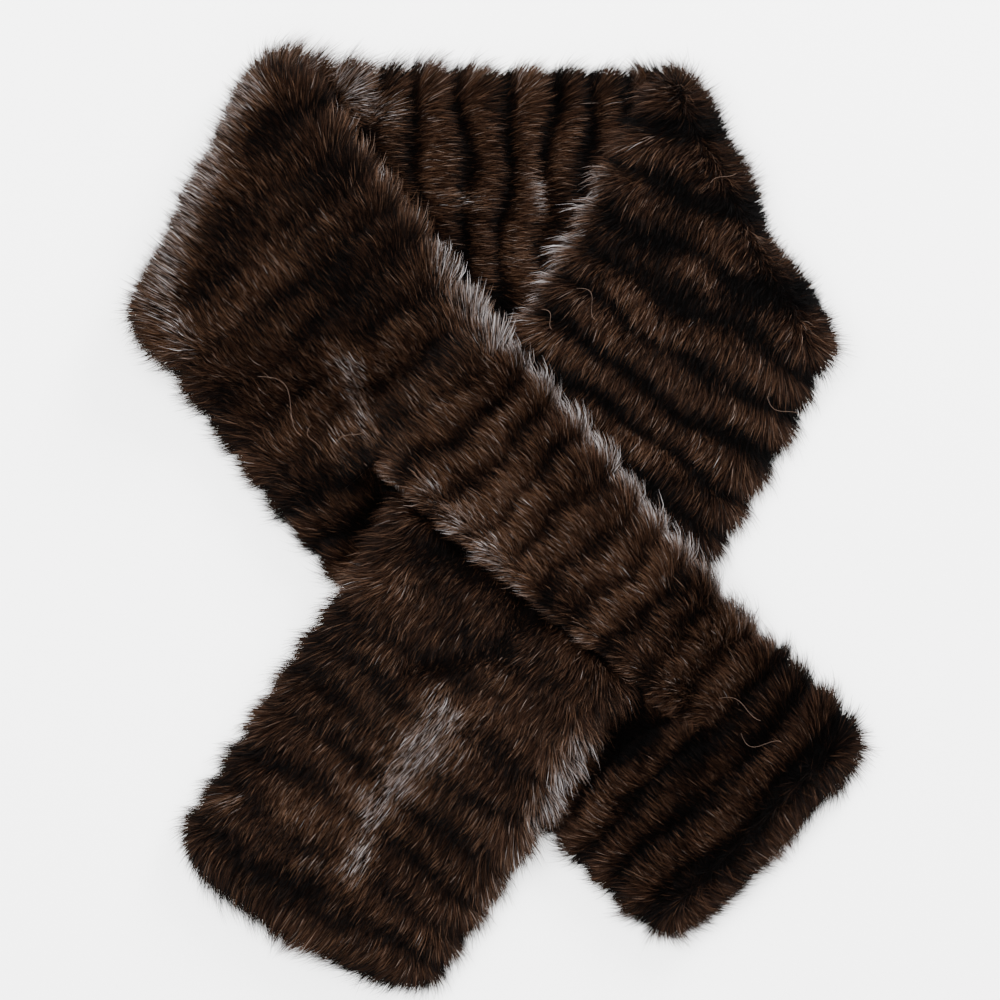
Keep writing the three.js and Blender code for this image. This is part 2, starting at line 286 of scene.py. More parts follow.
def inside(arm, along, across):
    """How far places lie inside the edges of a front, negative outside."""
    inner = read(arm["inner"], along) - across
    outer = read(arm["outer"], along) + across
    return np.minimum(np.minimum(inner, outer), arm["length"] - along)


def plateau(depth):
    return smooth((depth + SPILL) / (SPILL + SEAT))


def pressed_by(depth):
    return smooth((depth + PRESS_MARGIN) / (2 * PRESS_MARGIN))


def slot_across(along):
    share = clamp((along - SLOT_START) / (SLOT_END - SLOT_START))
    return blend(SLOT_AT_START, SLOT_AT_END, share)


def above_slot(along, across, lip):
    """How much of the left front is above the slot, 1 over the tail and 0 under it."""
    from_ends = np.minimum(along - SLOT_START, SLOT_END - along)
    opening = lip * 0.5 * smooth(from_ends / SLOT_OPENING)
    return smooth(0.5 + (across - slot_across(along)) / (2 * SLOT_SOFTNESS) + opening)


def over_back(plan):
    return LAYER * plateau(HALF_WIDTH - np.abs(plan[..., 1] - BACK_Y))


def right_rests(plan):
    """Height of what the right front and its tail lie on."""
    along, across = locate(LEFT, plan)
    climb = smooth((slot_across(along) - across + SLOT_CLIMB) / (SLOT_CLIMB + SEAT))
    over_lip = LAYER * climb * plateau(across + read(LEFT["outer"], along))
    return soft_max(over_back(plan), over_lip)


def over_right(plan):
    depth = inside(RIGHT, *locate(RIGHT, plan))
    return (right_rests(plan) + LAYER) * plateau(depth)


def lie_of(arm, along, across, plan, lip):
    """Height under a laid front, how much the other front goes over it there, and how far
    inside the other front's edges that is."""
    if arm is RIGHT:
        left_along, left_across = locate(LEFT, plan)
        lip_there = np.sign(left_across - slot_across(left_along))
        above = above_slot(left_along, left_across, lip_there)
        return right_rests(plan), above, inside(LEFT, left_along, left_across)
    above = above_slot(along, across, lip)
    cover = inside(RIGHT, *locate(RIGHT, plan))
    return soft_max(over_back(plan), above * over_right(plan)), 1 - above, cover


def brushed(strokes, x, y):
    """The sum of soft strokes at places in plan, each stroke (x, y, x, y, reach, strength) from
    one place to another, in millimetres. Of strokes with the same sign the strongest holds."""
    most = np.zeros_like(x)
    least = np.zeros_like(x)
    for ax, ay, bx, by, reach, strength in strokes:
        run = np.array([bx - ax, by - ay])
        share = clamp(((x - ax) * run[0] + (y - ay) * run[1]) / max(run @ run, 1e-6))
        away = np.hypot(x - ax - share * run[0], y - ay - share * run[1]) / reach
        stroke = strength * np.exp(-away * away)
        most = np.maximum(most, stroke)
        least = np.minimum(least, stroke)
    return most + least


def ribs(along, across):
    """About 1 on the crest of a rib and 0 in a valley. The ribs wander a little across the
    strip, and are uneven from one to the next."""
    wander = sum(far * np.sin(a * across + b * along) for far, a, b in RIB_WANDER)
    rib = np.floor(np.abs(along) / RIB)
    uneven = sum((far * np.sin(rib * step + shift) for far, step, shift in RIB_UNEVEN), 1)
    return np.abs(np.sin(np.pi * (along + wander) / RIB)) * uneven


# Fur is buried this far inside the edge of what lies on it, fully so over the second distance
BURIED_FROM, BURIED_OVER = 4.0, 8.0
NO_EDGE = 99.0  # stands for the distance to an edge that a stretch doesn't have


def lay_face(stretch, along, share, face, level, margin):
    """One face of a stretch at a level of its pile, 0 at the base cloth and 1 at the tips.

    share runs from 0 at the outer edge to 1 at the inner one, both drawn in by margin. face is
    1 on the face that is up at the back of the neck. Gives a dict of arrays, millimetres."""
    arm = stretch["arm"]
    lip = stretch.get("lip", 0)
    crest = ribs(along, 2 * HALF_WIDTH * (share - 0.5))
    tip = np.ones_like(along)
    if stretch.get("free_end"):
        tip = clamp((arm["length"] - margin - along) / TIP_ROUNDING)
    tip_share = np.sqrt(1 - (1 - tip) ** 2)
    draw = SCALLOP * (1 - crest) + CORNER_DRAW * (1 - tip_share)
    parted = smooth((TAIL_IN_SLOT - along) / LIPS_MEET_OVER)
    on_slot = slot_across(along) + lip * (SEAM / 2 + LIP_MARGIN * margin * parted)
    low = on_slot if lip == 1 else draw + margin - read(arm["outer"], along)
    high = on_slot if lip == -1 else read(arm["inner"], along) - draw - margin
    across = blend(low, high, share)
    to_edge = np.minimum(across - low, high - across)
    inset = clamp(to_edge / EDGE_DEPTH)
    rounded = np.sqrt(1 - (1 - inset) ** 2)
    body = np.maximum(THINNEST, tip_share) * np.maximum(THINNEST, rounded)

    near_end = smooth((along - arm["length"] + END_REACH) / END_REACH)
    near_end = near_end if stretch.get("free_end") else 0
    off_centre = across / HALF_WIDTH
    reached = arm["end_slant"] * off_centre + arm["end_bulge"] * (1 - off_centre**2)
    plan, out, turned = folded(arm, along + near_end * reached, across)
    swell = brushed(stretch.get("swell", ()), plan[..., 0], plan[..., 1])
    puff = clamp(swell / PUFFED_OUT)
    crest = blend(crest, 1, puff)
    ribbed = blend(stretch["valley"], 1, crest)
    fronts = np.maximum(inside(LEFT, *locate(LEFT, plan)), inside(RIGHT, *locate(RIGHT, plan)))
    open_pile = blend(OPEN_PILE * ribbed, PRESSED_PILE, pressed_by(fronts))
    rest, over, cover = lie_of(arm, along, across, plan, lip)
    pressed = over * pressed_by(cover)
    splay = np.sin(turned)
    around = turned / np.pi
    on_top = blend(OPEN_PILE * ribbed, PRESSED_PILE, pressed)
    on_top = on_top + swell * (1 - pressed)
    outside = blend(RESTING_PILE, on_top, smooth(around))
    notch = arm["notch"] * fade(across - NOTCH_ACROSS, NOTCH_REACH)
    if face > 0:
        laid_pile = blend(PRESSED_PILE, RESTING_PILE, around) * (1 - INNER_SQUEEZE * splay)
        back_pile = open_pile
    else:
        laid_pile = blend(outside, (arm["fold_pile"] - notch) * (0.5 + 0.5 * ribbed), splay)
        back_pile = RESTING_PILE
    on_back = (turned == 0) & (along < arm["fold_along"] + HALF_WIDTH)
    base = RESTING_PILE + np.where(on_back, 0, rest * (0.5 - 0.5 * np.cos(turned)))
    pile = np.where(on_back, back_pile, laid_pile) * body
    offset = face * pile * level
    points = np.stack(
        [
            plan[..., 0] - out[0] * offset * np.sin(turned) + TO_MIDDLE[0],
            plan[..., 1] - out[1] * offset * np.sin(turned) + TO_MIDDLE[1],
            np.maximum(LOWEST_SKIN, base + offset * np.cos(turned)),
        ],
        axis=-1,
    )
    under = np.where(on_back, fronts, cover) - BURIED_FROM
    buried = smooth(under / BURIED_OVER) * np.where(on_back, 1, over)
    no_edge = np.full_like(across, NO_EDGE)
    return {
        "points": points,
        "across": across,
        "hidden": buried,
        "turned": turned,
        "crest": crest,
        "to_outer": across - low if lip != 1 else no_edge,
        "to_inner": high - across if lip != -1 else no_edge,
        "to_slot": to_edge if lip != 0 else no_edge,
    }


# The skin is the fur's ground: the knitted base with the dense short fur on it. It is a thin
# form with both faces, inside the tips of the long hair by this margin.
SKIN_LEVEL = 0.66
SKIN_MARGIN = 4.0
SKIN_STEP, SKIN_COLUMNS = 2.8, 34


def lattice(stretch, step_along, columns):
    """Distances along and shares across, on a lattice over a stretch whose columns stand
    closer together near the edges."""
    start = stretch["start"] + SEAM / 2
    end = stretch["end"] - (SKIN_MARGIN if stretch.get("free_end") else SEAM / 2)
    rows = max(2, round((end - start) / step_along))
    along = np.linspace(start, end, rows + 1)
    share = 0.5 - 0.5 * np.cos(np.linspace(0, np.pi, columns + 1))
    share = blend(share, np.linspace(0, 1, columns + 1), 0.5)
    return np.meshgrid(along, share, indexing="ij")


def fur_ground():
    """Matt, nearly black brown ground of the fur, with fine streaks across the ribs. It is this
    dark partly as painted shade, for where it shows in creases.
    """
    material = bpy.data.materials.new("fur_ground")
    material.use_nodes = True
    nodes = material.node_tree.nodes
    links = material.node_tree.links
    surface = nodes["Principled BSDF"]
    surface.inputs["Specular IOR Level"].default_value = 0.01
    cut = nodes.new("ShaderNodeUVMap")
    cut.uv_map = "cut"
    stretched = nodes.new("ShaderNodeMapping")
    stretched.inputs["Scale"].default_value = (180, 900, 1)
    streaks = nodes.new("ShaderNodeTexNoise")
    streaks.inputs["Scale"].default_value = 1.0
    streaks.inputs["Detail"].default_value = 4.0
    tone = nodes.new("ShaderNodeValToRGB")
    # Nearly black, partly as painted shade where the ground shows in creases
    tone.color_ramp.elements[0].position = 0.3
    tone.color_ramp.elements[0].color = (0.0002, 0.00015, 0.00015, 1)
    tone.color_ramp.elements[1].position = 0.75
    tone.color_ramp.elements[1].color = (0.0018, 0.0011, 0.0009, 1)
    rough = nodes.new("ShaderNodeMapRange")
    rough.inputs["To Min"].default_value = 0.75
    rough.inputs["To Max"].default_value = 0.95
    bump = nodes.new("ShaderNodeBump")
    bump.inputs["Strength"].default_value = 0.8
    bump.inputs["Distance"].default_value = 0.0008
    links.new(cut.outputs["UV"], stretched.inputs["Vector"])
    links.new(stretched.outputs["Vector"], streaks.inputs["Vector"])
    links.new(streaks.outputs["Fac"], tone.inputs["Fac"])
    links.new(streaks.outputs["Fac"], rough.inputs["Value"])
    links.new(streaks.outputs["Fac"], bump.inputs["Height"])
    links.new(tone.outputs["Color"], surface.inputs["Base Color"])
    links.new(rough.outputs["Result"], surface.inputs["Roughness"])
    links.new(bump.outputs["Normal"], surface.inputs["Normal"])
    return material


def fur_hair():
    """Hair that goes from near black through brown to silver by its tone, the first coordinate
    of its map, and is darker at the root than at the tip, along the second: painted shade down
    in the pile. The silver at the pale end is there for painted sheen and rim light."""
    material = bpy.data.materials.new("fur_hair")
    material.use_nodes = True
    nodes = material.node_tree.nodes
    links = material.node_tree.links
    surface = nodes["Principled BSDF"]
    surface.inputs["Specular IOR Level"].default_value = 0.03
    on_hair = nodes.new("ShaderNodeUVMap")
    on_hair.uv_map = "OFBake"
    split = nodes.new("ShaderNodeSeparateXYZ")
    tone = nodes.new("ShaderNodeValToRGB")
    ramp = tone.color_ramp
    ramp.elements[0].color = (0.0004, 0.0003, 0.0003, 1)
    ramp.elements[1].color = (0.34, 0.315, 0.315, 1)
    for position, color in (
        (0.15, (0.0007, 0.0004, 0.0003)),
        (0.30, (0.0038, 0.0018, 0.0011)),
        (0.45, (0.0235, 0.0104, 0.0055)),
        (0.60, (0.0610, 0.0325, 0.0185)),
        (0.75, (0.1080, 0.0820, 0.0700)),
        (0.88, (0.1850, 0.1720, 0.1730)),
    ):
        ramp.elements.new(position).color = (*color, 1)
    # Painted shade: the hair darkens towards its root, down in the pile
    lengthwise = nodes.new("ShaderNodeMapRange")
    lengthwise.inputs["To Min"].default_value = 0.25
    lengthwise.inputs["To Max"].default_value = 1.2
    speckle = nodes.new("ShaderNodeTexNoise")
    speckle.inputs["Scale"].default_value = 60.0
    vary = nodes.new("ShaderNodeMapRange")
    vary.inputs["To Min"].default_value = 0.75
    vary.inputs["To Max"].default_value = 1.25
    both = nodes.new("ShaderNodeMath")
    both.operation = "MULTIPLY"
    shaded = nodes.new("ShaderNodeMix")
    shaded.data_type = "RGBA"
    shaded.blend_type = "MULTIPLY"
    shaded.inputs["Factor"].default_value = 1.0
    rough = nodes.new("ShaderNodeMapRange")
    rough.inputs["To Min"].default_value = 0.62
    rough.inputs["To Max"].default_value = 0.42
    bump = nodes.new("ShaderNodeBump")
    bump.inputs["Strength"].default_value = 0.15
    bump.inputs["Distance"].default_value = 0.0001
    links.new(on_hair.outputs["UV"], split.inputs["Vector"])
    links.new(on_hair.outputs["UV"], speckle.inputs["Vector"])
    links.new(split.outputs["X"], tone.inputs["Fac"])
    links.new(split.outputs["Y"], lengthwise.inputs["Value"])
    links.new(speckle.outputs["Fac"], vary.inputs["Value"])
    links.new(lengthwise.outputs["Result"], both.inputs[0])
    links.new(vary.outputs["Result"], both.inputs[1])
    links.new(tone.outputs["Color"], shaded.inputs["A"])
    links.new(both.outputs["Value"], shaded.inputs["B"])
    links.new(split.outputs["X"], rough.inputs["Value"])
    links.new(speckle.outputs["Fac"], bump.inputs["Height"])
    links.new(shaded.outputs["Result"], surface.inputs["Base Color"])
    links.new(rough.outputs["Result"], surface.inputs["Roughness"])
    links.new(bump.outputs["Normal"], surface.inputs["Normal"])
    return material


FUR_GROUND = fur_ground()
FUR_HAIR = fur_hair()


def make_skin(name, stretch):
    """The ground of a stretch: two faces of a lattice joined round their rim."""
    along, share = lattice(stretch, SKIN_STEP, SKIN_COLUMNS)
    rows, columns = along.shape
    vertices, cut = [], []
    for face in (1, -1):
        laid = lay_face(stretch, along, share, face, SKIN_LEVEL, SKIN_MARGIN)
        vertices.append(laid["points"].reshape(-1, 3) * MM)
        cut.append(np.stack([along, laid["across"]], axis=-1).reshape(-1, 2) * MM)
    index = np.arange(rows * columns).reshape(rows, columns)
    top = np.stack([index[:-1, :-1], index[1:, :-1], index[1:, 1:], index[:-1, 1:]], axis=-1)
    top = top.reshape(-1, 4)
    under = top[:, ::-1] + rows * columns
    rim = np.concatenate([index[0, :-1], index[:-1, -1], index[-1, :0:-1], index[:0:-1, 0]])
    following = np.roll(rim, -1)
    wall = np.stack([rim, following, following + rows * columns, rim + rows * columns], axis=1)
    faces = np.concatenate([top, under, wall])
    mesh = bpy.data.meshes.new(name)
    mesh.from_pydata(np.concatenate(vertices).tolist(), [], faces.tolist())
    layer = mesh.uv_layers.new(name="cut")
    corners = np.empty(len(mesh.loops), dtype=np.int32)
    mesh.loops.foreach_get("vertex_index", corners)
    layer.data.foreach_set("uv", np.concatenate(cut)[corners].ravel())
    mesh.materials.append(FUR_GROUND)
    skin = bpy.data.objects.new(name, mesh)
    bpy.context.scene.collection.objects.link(skin)
    bpy.ops.object.select_all(action="DESELECT")
    skin.select_set(True)
    bpy.context.view_layer.objects.active = skin
    bpy.ops.object.mode_set(mode="EDIT")
    bpy.ops.mesh.select_all(action="SELECT")
    bpy.ops.mesh.normals_make_consistent(inside=False)
    bpy.ops.object.mode_set(mode="OBJECT")
    bpy.ops.object.shade_smooth()
    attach(skin, "root")
    return skin


# The number of random values along and across that the patches are eased between, and which
# one stands at the middle of the back, on the centre line
PATCHES = (130, 40)
PATCH_AT_ZERO = 20


def patchwork(chance, along, across, length, width):
    """Uneven soft patches of the strip, about 1 either way, of a length and a width."""
    patches = chance.normal(size=PATCHES)
    a = np.clip(along / length + PATCH_AT_ZERO, 0, PATCHES[0] - 2)
    b = np.clip(across / width + PATCH_AT_ZERO, 0, PATCHES[1] - 2)
    low_a, low_b = a.astype(int), b.astype(int)
    up_a, up_b = smooth(a - low_a), smooth(b - low_b)
    near = blend(patches[low_a, low_b], patches[low_a + 1, low_b], up_a)
    far = blend(patches[low_a, low_b + 1], patches[low_a + 1, low_b + 1], up_a)
    return blend(near, far, up_b)


# Roots are spread over a lattice of this step and number of columns. Few are on what faces the
# table or is buried under another layer.
HAIR_STEP, HAIR_COLUMNS = 2.0, 60
FACES_DOWN = -0.35
FACING_DOWN_SHARE = 0.03
BURIED_LOSS = 0.97
FIELDS = ("hidden", "turned", "crest", "to_outer", "to_inner", "to_slot")


def spread_roots(stretch, chance, count):
    """Hair roots spread at random over both faces: where each is on the strip, its point, and
    its directions ahead, inward and out of the fur."""
    along, share = lattice(stretch, HAIR_STEP, HAIR_COLUMNS)
    weights, cells = [], []
    for face in (1, -1):
        laid = lay_face(stretch, along, share, face, SKIN_LEVEL, SKIN_MARGIN)
        points = laid["points"]
        ahead = np.gradient(points, axis=0)
        inward = np.gradient(points, axis=1)
        normal = -face * stretch["arm"]["mirror"] * np.cross(ahead, inward)
        size = np.linalg.norm(normal, axis=-1)
        normal = unit(normal)
        seen = np.where(normal[..., 2] > FACES_DOWN, 1.0, FACING_DOWN_SHARE)
        seen = seen * (1 - BURIED_LOSS * laid["hidden"])
        weights.append((size * seen)[:-1, :-1].ravel())
        stack = [along, laid["across"], *[laid[field] for field in FIELDS]]
        cells.append((np.stack(stack, axis=-1), points, unit(ahead), unit(inward), normal))
    weight = np.concatenate(weights)
    picked = chance.choice(len(weight), size=count, p=weight / weight.sum())
    per_face = len(weights[0])
    on_face = picked // per_face
    row, column = np.divmod(picked % per_face, along.shape[1] - 1)
    f, g = chance.random(count)[:, None], chance.random(count)[:, None]

    def between(k):
        grid = np.stack([cells[0][k], cells[1][k]])
        low = blend(grid[on_face, row, column], grid[on_face, row + 1, column], f)
        high = blend(grid[on_face, row, column + 1], grid[on_face, row + 1, column + 1], f)
        return blend(low, high, g)

    where = dict(zip(("along", "across", *FIELDS), between(0).T))
    where["face"] = on_face
    return where, between(1), unit(between(2)), unit(between(3)), unit(between(4))


# Hair hangs together in locks of this size, laid out in winding rows. There are this many
# kinds of lock, each with its own lean, length, tone and lift.
LOCK = 2.4
LOCK_DRIFT = 2.2
WIND_ALONG = (0.31, 1.3, 0.13)
WIND_ACROSS = (0.37, 1.7, 0.17)
LOCK_KINDS = 4099
SCATTER_ALONG, SCATTER_ACROSS, SCATTER_FACE = 7919, 104729, 31


def lock_row(place, other, wave, bend, bend_wave):
    """Which winding row of locks a place is in, and how far off the row's middle is."""
    drift = LOCK_DRIFT * np.sin(other * wave + bend * np.sin(place * bend_wave))
    row = np.floor((place + drift) / LOCK)
    return row, (row + 0.5) * LOCK - place - drift


# Hair turns outwards within these distances of an edge, of the slot and of a free end
EDGE_SPREAD, SLOT_SPREAD, END_SPREAD = 13.0, 8.0, 14.0
# What that does to its lay, beside 1 for hair that runs straight along the strip
OUTER_SLACK, SLOT_TURN = 0.3, 0.8
END_TURN, END_EASE = 1.4, 0.6
LOCK_LEAN, OWN_LEAN = 0.08, 0.10
# Round the fold it swings over from this share of the turn on, for this much of it
SWING_FROM, SWING_OVER = 0.55, 0.4
SWING_OUT = 0.9


def comb_hair(stretch, where, ahead, inward, lock_lean, own_lean):
    """The way the hair lies in the face of the fur, and how near it is to an outer rim."""
    arm = stretch["arm"]
    comb = -arm["mirror"]
    outer_edge = fade(where["to_outer"], EDGE_SPREAD)
    inner_edge = fade(where["to_inner"], EDGE_SPREAD)
    to_end = arm["length"] - SKIN_MARGIN - where["along"]
    end = fade(to_end, END_SPREAD) * bool(stretch.get("free_end"))
    lengthwise = comb * (1 - OUTER_SLACK * outer_edge) + (1 - comb * END_EASE) * end * END_TURN
    crosswise = inner_edge - outer_edge + LOCK_LEAN * lock_lean + OWN_LEAN * own_lean
    if comb > 0:
        # Round the fold the hair first stands outwards and then swings over to run on
        swing = np.pi * (1 - smooth((where["turned"] / np.pi - SWING_FROM) / SWING_OVER))
        swing = np.where(where["turned"] > 0, swing, 0)
        lengthwise = lengthwise * np.cos(swing)
        crosswise = crosswise - SWING_OUT * np.sin(swing)
    if stretch.get("lip"):
        crosswise = crosswise - stretch["lip"] * SLOT_TURN * fade(where["to_slot"], SLOT_SPREAD)
    lay = unit(lengthwise[:, None] * ahead + crosswise[:, None] * inward)
    return lay, np.maximum(np.maximum(outer_edge, inner_edge), end)


# The length of guard hair and of down, how much it varies, and what makes it longer or shorter
GUARD_LENGTH, DOWN_LENGTH = 8.2, 6.4
LOCK_VARIES, OWN_VARIES = 0.07, 0.16
VALLEY_LENGTH, VALLEY_GAIN, CREST_LENGTH = 0.45, 0.5, 1.05
RIM_LONGER, FOLD_LONGER = 0.5, 0.2
HIDDEN_SHORTER, DARK_SHORTER = 0.55, 1.4
SHORTEST, LONGEST = 2.0, 20.0


def hair_length(stretch, where, guard, rim, painted_light, longer, lock_length, own_length):
    """The length of each hair. The painted light is its part in the strokes of painted sheen and
    shade, and where those are dark, in creases, the hair is also shorter."""
    length = np.where(guard, GUARD_LENGTH, DOWN_LENGTH)
    length = length * (1 + LOCK_VARIES * lock_length + OWN_VARIES * own_length)
    in_valley = VALLEY_LENGTH + VALLEY_GAIN * stretch["valley"]
    length = length * blend(in_valley, CREST_LENGTH, clamp(where["crest"]))
    length = length * (1 + RIM_LONGER * rim + FOLD_LONGER * np.sin(where["turned"]))
    length = length * (1 - HIDDEN_SHORTER * clamp(where["hidden"]))
    length = length * (1 - clamp(-DARK_SHORTER * painted_light)) * (1 + longer)
    return np.clip(length, SHORTEST, LONGEST)


# The angle between hair and fur in degrees, and what the lock, chance, the fold and the crest
# of a rib add to it. The limits are in radians.
LIFT, LOCK_LIFT, OWN_LIFT, FOLD_LIFT, CREST_LIFT = 23, 4, 8, 22, 8
LEAST_LIFT, MOST_LIFT = 0.05, 1.35
# A hair rises by this more, in radians, as far as its knee, a share of its length up, and by
# this less from there on
RISE, FALL = 0.28, 0.30
KNEE = 0.52
# Where the fur faces up less than this the hair hangs down a little
SLOPE, DROOP = 0.6, 0.25
ROOT_DEPTH = 0.5
DRAWN_IN, DRAWN_AT_KNEE = 0.09, 0.4


def shape_hair(root, normal, lay, lift, length, to_lock):
    """Foot, knee and tip of each hair, and the direction in which it rises. Its tip is drawn
    towards the middle of its lock."""

    def heading(angle):
        return np.cos(angle)[:, None] * lay + np.sin(angle)[:, None] * normal

    first = heading(lift + RISE)
    second = heading(lift - FALL)
    second[:, 2] -= DROOP * np.maximum(0, SLOPE - normal[:, 2])
    second = unit(second)
    draw_in = DRAWN_IN * to_lock
    foot = root - ROOT_DEPTH * normal
    knee = foot + first * (KNEE * length)[:, None] + DRAWN_AT_KNEE * draw_in
    tip = knee + second * ((1 - KNEE) * length)[:, None] + (1 - DRAWN_AT_KNEE) * draw_in
    return foot, knee, tip, first


# The tone goes from 0, nearly black, to 1, silver; the silver end is for painted sheen. In a
# valley and on a crest it is as each stretch says, the valley darker as painted shade, and these
# are what is added to it.
CREST_SLOPE, CREST_STREAKS, SHINE_AS_CREST = 1.25, 0.12, 3
STREAK_TONE, BLOT_TONE, LOCK_TONE, OWN_TONE = 0.035, 0.042, 0.018, 0.11
# Random pale hairs, painted glints
GLINT_HAIR_ABOVE, RANDOM_GLINT_TONE = 1.4, 0.06
# Tones of guard hair and of down; the last is painted shade on hair under another layer
GUARD_TONE, DOWN_TONE, UNDER_LAYER_SHADE = 0.02, -0.06, -0.1
# Painted glints: how much of the painted sheen goes on hairs that lean one way, and on the rest
GLINT_LEAN, GLINT, NO_GLINT = 0.2, 1.4, -0.15
# How strongly the dark strokes paint shade
DARKEN = 1.2
DARKEST, PALEST = 0.01, 0.985
STREAK_SIZE, BLOT_SIZE = (9.0, 26.0), (RIB, 20.0)
RIM_EASE = 15


def hair_tone(where, guard, tones, painted_light, rim_light, chance, lock_tone, own_lean, own_tone):
    """The tone of each hair, with its painted light: painted sheen and shade from the strokes,
    painted rim light, painted shade in the valleys and under another layer, and pale hairs as
    painted glints. In a light patch most of the painted sheen is on hairs that lean one way.
    """
    streaks = patchwork(chance, where["along"], where["across"], *STREAK_SIZE)
    blots = patchwork(chance, where["along"], where["across"], *BLOT_SIZE)
    # Painted rim light: edges made lighter
    for edge, start, end, reach, strength in rim_light:
        window = smooth((where["along"] - start) / RIM_EASE)
        window = window * smooth((end - where["along"]) / RIM_EASE)
        painted_light = np.maximum(painted_light, strength * window * fade(where[edge], reach))
    # Painted glints: the painted sheen falls mostly on hairs that lean one way, and it lifts the
    # valleys up to the crest's tone
    glint = np.maximum(painted_light, 0) * np.where(own_lean > GLINT_LEAN, GLINT, NO_GLINT)
    crest = np.maximum(where["crest"], SHINE_AS_CREST * painted_light)
    on_crest = smooth(CREST_SLOPE * crest + (1 - CREST_SLOPE) + CREST_STREAKS * streaks)
    # Painted shade: darker in the valleys of the ribs
    tone = blend(*tones, on_crest)
    tone = tone + STREAK_TONE * streaks + BLOT_TONE * blots + LOCK_TONE * lock_tone
    # The painted glints, and the painted shade of the dark strokes
    tone = tone + glint + DARKEN * np.minimum(painted_light, 0)
    # Random pale hairs as painted glints
    tone = tone + OWN_TONE * own_tone + np.where(own_tone > GLINT_HAIR_ABOVE, RANDOM_GLINT_TONE, 0)
    # Painted shade on hair under another layer
    tone = tone + np.where(guard, GUARD_TONE, DOWN_TONE) + UNDER_LAYER_SHADE * clamp(where["hidden"])
    return np.clip(tone, DARKEST, PALEST)


# Half the width of a blade of guard hair and of down, the width it keeps at the knee, how it
# varies, and how far round it is turned by chance
GUARD_HALF_WIDTH, DOWN_HALF_WIDTH = 0.095, 0.14
NARROWEST_HALF, WIDEST_HALF = 0.05, 0.3
AT_KNEE = 0.8
WIDTH_VARIES = 0.2
ROLL, MOST_ROLL = 0.75, 1.1
DOWN_TIP = 0.6  # down ends this share of the way from the knee to the tip
LOWEST_HAIR = 0.35
# The two forms of blade: which side of the hair each corner is on, how far up, and the triangles
GUARD_BLADE = {
    "side": (-1, 1, 1, -1, 0),
    "up": (0.02, 0.02, 0.55, 0.55, 0.98),
    "triangles": ((0, 1, 2), (0, 2, 3), (3, 2, 4)),
}
DOWN_BLADE = {"side": (-1, 1, 0), "up": (0.02, 0.02, 0.9), "triangles": ((0, 1, 2),)}
MAP_HALF_WIDTH = 0.002


def add_blades(hairs, blade, corners, tone):
    """Adds hairs of one form, given by the corners of each, to the hairs gathered so far."""
    gathered = sum(map(len, hairs["corners"]))
    count, size = corners.shape[:2]
    corners[..., 2] = np.maximum(corners[..., 2], LOWEST_HAIR)
    first = gathered + size * np.arange(count)[:, None, None]
    tones = np.stack([tone] * size, axis=1) + np.array(blade["side"]) * MAP_HALF_WIDTH
    hairs["corners"].append(corners.reshape(-1, 3))
    hairs["faces"].append((first + np.array(blade["triangles"])).reshape(-1, 3))
    hairs["map"].append(np.stack([tones.ravel(), np.tile(blade["up"], count)], axis=1))


# A single pale hair that lies over the rest, in short steps with a wave in it
LOOSE_POINTS = 13
LOOSE_WAVE = 5
LOOSE_ABOVE_ROOTS = 3.5
LOOSE_HALF_WIDTH = 0.065
LOOSE_TONE, LOOSE_UP = 0.66, 0.7


def add_loose_hair(hairs, root, start, end, bow):
    """Adds a single hair from one place in plan to another, bowed to one side by a share."""
    share = np.linspace(0, 1, LOOSE_POINTS)[:, None]
    run = np.subtract(end, start)
    sideways = np.array([-run[1], run[0]])
    path = start + run * share + sideways * bow * np.sin(LOOSE_WAVE * share)
    x, y = (root[:, :2] - TO_MIDDLE).T
    under = [np.argmin(np.hypot(x - px, y - py) - root[:, 2]) for px, py in path]
    level = np.full_like(share, root[under, 2].max() + LOOSE_ABOVE_ROOTS)
    width = unit(sideways) * LOOSE_HALF_WIDTH
    i = sum(map(len, hairs["corners"])) + np.arange(LOOSE_POINTS - 1)[:, None]
    k = i + LOOSE_POINTS
    for edge in (-1, 1):
        tone = np.full_like(share, LOOSE_TONE + MAP_HALF_WIDTH * edge)
        hairs["corners"].append(np.hstack([path + TO_MIDDLE + edge * width, level]))
        hairs["map"].append(np.hstack([tone, np.full_like(share, LOOSE_UP)]))
    hairs["faces"] += [np.hstack([i, k, k + 1]), np.hstack([i, k + 1, i + 1])]


def hair_mesh(name, hairs):
    """One mesh of all the gathered hairs, with their map."""
    corners = np.concatenate(hairs["corners"])
    faces = np.concatenate(hairs["faces"])
    hair_map = np.concatenate(hairs["map"])
    mesh = bpy.data.meshes.new(name)
    mesh.vertices.add(len(corners))
    mesh.vertices.foreach_set("co", (corners * MM).astype(np.float32).ravel())
    mesh.loops.add(faces.size)
    mesh.loops.foreach_set("vertex_index", faces.astype(np.int32).ravel())
    mesh.polygons.add(len(faces))
    mesh.polygons.foreach_set("loop_start", 3 * np.arange(len(faces), dtype=np.int32))
    mesh.update(calc_edges=True)
    layer = mesh.uv_layers.new(name="OFBake")
    layer.data.foreach_set("uv", hair_map[faces.ravel()].astype(np.float32).ravel())
    mesh.materials.append(FUR_HAIR)
    return mesh


